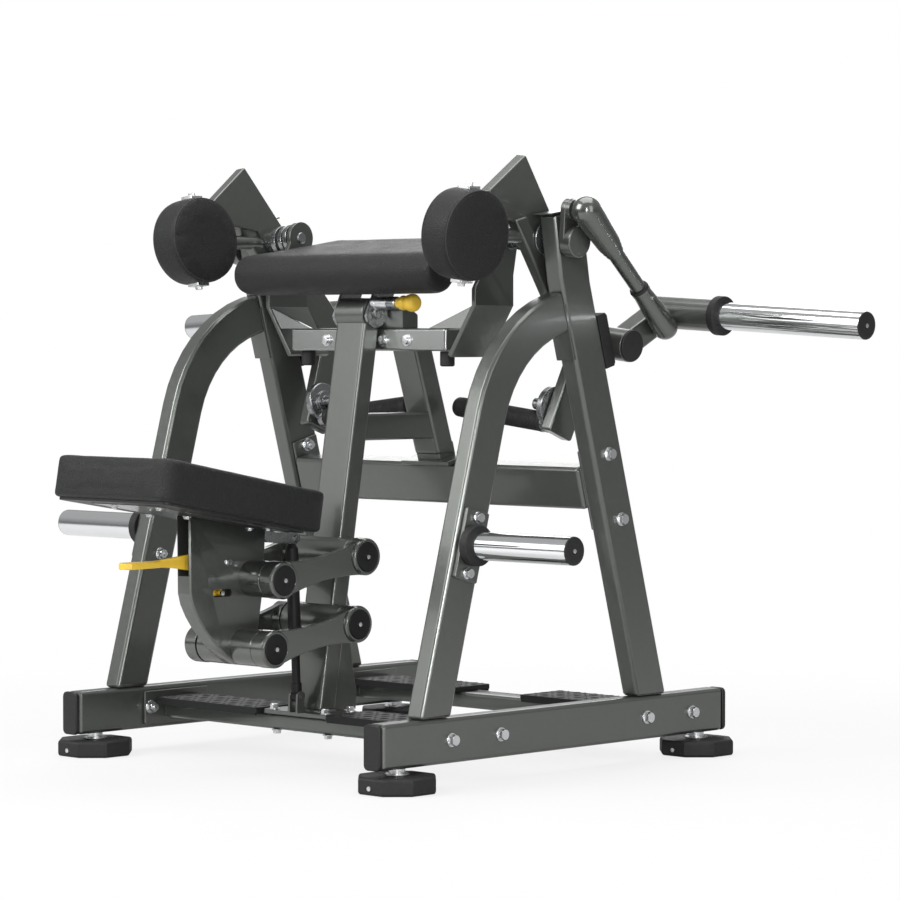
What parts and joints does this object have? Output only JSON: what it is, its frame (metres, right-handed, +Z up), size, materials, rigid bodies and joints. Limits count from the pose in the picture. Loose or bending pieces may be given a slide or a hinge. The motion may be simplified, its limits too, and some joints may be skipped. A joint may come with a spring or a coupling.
{
  "type": "biceps machine",
  "caption": "Plate-loaded seated biceps curl machine with tilted elbow axes, swivelling hand grips, linkage seat and adjustable arm pad",
  "frame": {"origin": "middle of the footprint's bounding box, on the floor", "axes": "+X towards the right-hand side as the seated user sees it, +Y away from the user, from the seat to the rear feet, +Z up"},
  "size_m": [1.7822, 1.1762, 1.1106],
  "materials": {
    "frame_paint": "charcoal metallic powder coat",
    "black_leather": "grained black upholstery",
    "chrome": "polished",
    "dark_steel": "turned or pressed steel, zinc plated",
    "black_rubber": "matt",
    "black_plastic": "moulded, satin",
    "yellow_plastic": "moulded, satin"
  },
  "bodies": {
    "machine": {"arm_stop_left": "black_rubber", "arm_stop_right": "black_rubber", "arm_yoke": "frame_paint", "base_beam_left": "frame_paint", "base_beam_right": "frame_paint", "base_cross_front": "frame_paint", "base_cross_rear": "frame_paint", "beam_cap_front_left": "black_plastic", "beam_cap_front_right": "black_plastic", "beam_cap_rear_left": "black_plastic", "beam_cap_rear_right": "black_plastic", "centre_frame": "frame_paint", "foot_front_left": "black_rubber", "foot_front_right": "black_rubber", "foot_rear_left": "black_rubber", "foot_rear_right": "black_rubber", "front_leg_left": "frame_paint", "front_leg_right": "frame_paint", "rear_leg_left": "frame_paint", "rear_leg_right": "frame_paint", "storage_horn_left": "chrome", "storage_horn_right": "chrome", "storage_ring_left": "black_rubber", "storage_ring_right": "black_rubber", "tread_front_left": "dark_steel", "tread_front_right": "dark_steel", "tread_rear_left": "dark_steel", "tread_rear_right": "dark_steel", "upper_cross_beam": "frame_paint", "yoke_buffer_left": "black_rubber", "yoke_buffer_right": "black_rubber"},
    "arm_right": {"arm_frame_right": "frame_paint", "elbow_shaft_right": "dark_steel", "crank_right": "frame_paint", "brace_rod_right": "frame_paint", "horn_ring_right": "black_rubber", "weight_horn_right": "chrome", "round_pad_right": "black_leather"},
    "grip_right": {"grip_swivel_right": "chrome", "hand_grip_right": "black_rubber"},
    "arm_left": {"arm_frame_left": "frame_paint", "elbow_shaft_left": "dark_steel", "crank_left": "frame_paint", "brace_rod_left": "frame_paint", "horn_ring_left": "black_rubber", "weight_horn_left": "chrome", "round_pad_left": "black_leather"},
    "grip_left": {"grip_swivel_left": "chrome", "hand_grip_left": "black_rubber"},
    "link_upper": {"seat_link_upper": "frame_paint"},
    "link_lower": {"seat_link_lower": "frame_paint"},
    "seat": {"seat_carriage": "frame_paint", "seat_cushion": "black_leather"},
    "release": {"release_lever": "yellow_plastic"},
    "gas_lower": {"gas_rod": "chrome"},
    "gas_upper": {"gas_cylinder": "black_plastic"},
    "elbow_pad": {"arm_pad": "black_leather", "pad_bracket": "dark_steel"},
    "plunger": {"pull_pin": "yellow_plastic"}
  },
  "joints": [
    {"name": "arm_right_curl", "type": "hinge", "parent": "machine", "child": "arm_right", "pos_m": [0.372, 0.13412, 0.964], "axis": [0.9936, 0, -0.1132], "range_deg": [0, 115]},
    {"name": "grip_right_swivel", "type": "hinge", "parent": "arm_right", "child": "grip_right", "pos_m": [0.33668, 0.22412, 0.65401], "axis": [0.9936, 0, -0.1132], "continuous": true},
    {"name": "arm_left_curl", "type": "hinge", "parent": "machine", "child": "arm_left", "pos_m": [-0.372, 0.13412, 0.964], "axis": [0.9936, 0, 0.1132], "range_deg": [0, 115]},
    {"name": "grip_left_swivel", "type": "hinge", "parent": "arm_left", "child": "grip_left", "pos_m": [-0.33668, 0.22412, 0.65401], "axis": [0.9936, 0, 0.1132], "continuous": true},
    {"name": "seat_upper_link_pivot", "type": "hinge", "parent": "machine", "child": "link_upper", "pos_m": [0, -0.05388, 0.384], "axis": [1, 0, 0], "range_deg": [-24, 4]},
    {"name": "seat_carriage_pivot", "type": "hinge", "parent": "link_upper", "child": "seat", "pos_m": [0, -0.26088, 0.351], "axis": [1, 0, 0], "range_deg": [-4, 24]},
    {"name": "seat_lower_link_pivot", "type": "hinge", "parent": "machine", "child": "link_lower", "pos_m": [0, -0.07488, 0.262], "axis": [1, 0, 0], "range_deg": [-24, 4]},
    {"name": "gas_foot_pivot", "type": "hinge", "parent": "machine", "child": "gas_lower", "pos_m": [0, -0.13288, 0.128], "axis": [1, 0, 0], "range_deg": [-1, 0.2]},
    {"name": "gas_spring_slide", "type": "slide", "parent": "gas_lower", "child": "gas_upper", "axis": [0, -0.0448, 0.999], "range_m": [-0.015, 0.088]},
    {"name": "seat_release_pivot", "type": "hinge", "parent": "seat", "child": "release", "pos_m": [0, -0.31788, 0.383], "axis": [1, 0, 0], "range_deg": [-6, 0], "stiffness_Nm_per_rad": 3, "springref_deg": 14.32},
    {"name": "arm_pad_tilt", "type": "hinge", "parent": "machine", "child": "elbow_pad", "pos_m": [0, 0.02749, 0.828], "axis": [1, 0, 0], "range_deg": [-8, 8]},
    {"name": "pad_lock_pull", "type": "slide", "parent": "elbow_pad", "child": "plunger", "axis": [1, 0, 0], "range_m": [0, 0.01], "stiffness_N_per_m": 400, "springref_m": -0.01}
  ],
  "couplings": [
    {"joint": "seat_carriage_pivot", "follows": "seat_upper_link_pivot", "ratio": -1},
    {"joint": "seat_lower_link_pivot", "follows": "seat_upper_link_pivot", "ratio": 1},
    {"joint": "gas_foot_pivot", "follows": "seat_upper_link_pivot", "ratio": 0.0345},
    {"joint": "gas_spring_slide", "follows": "seat_upper_link_pivot", "m_per_rad": -0.2079}
  ]
}
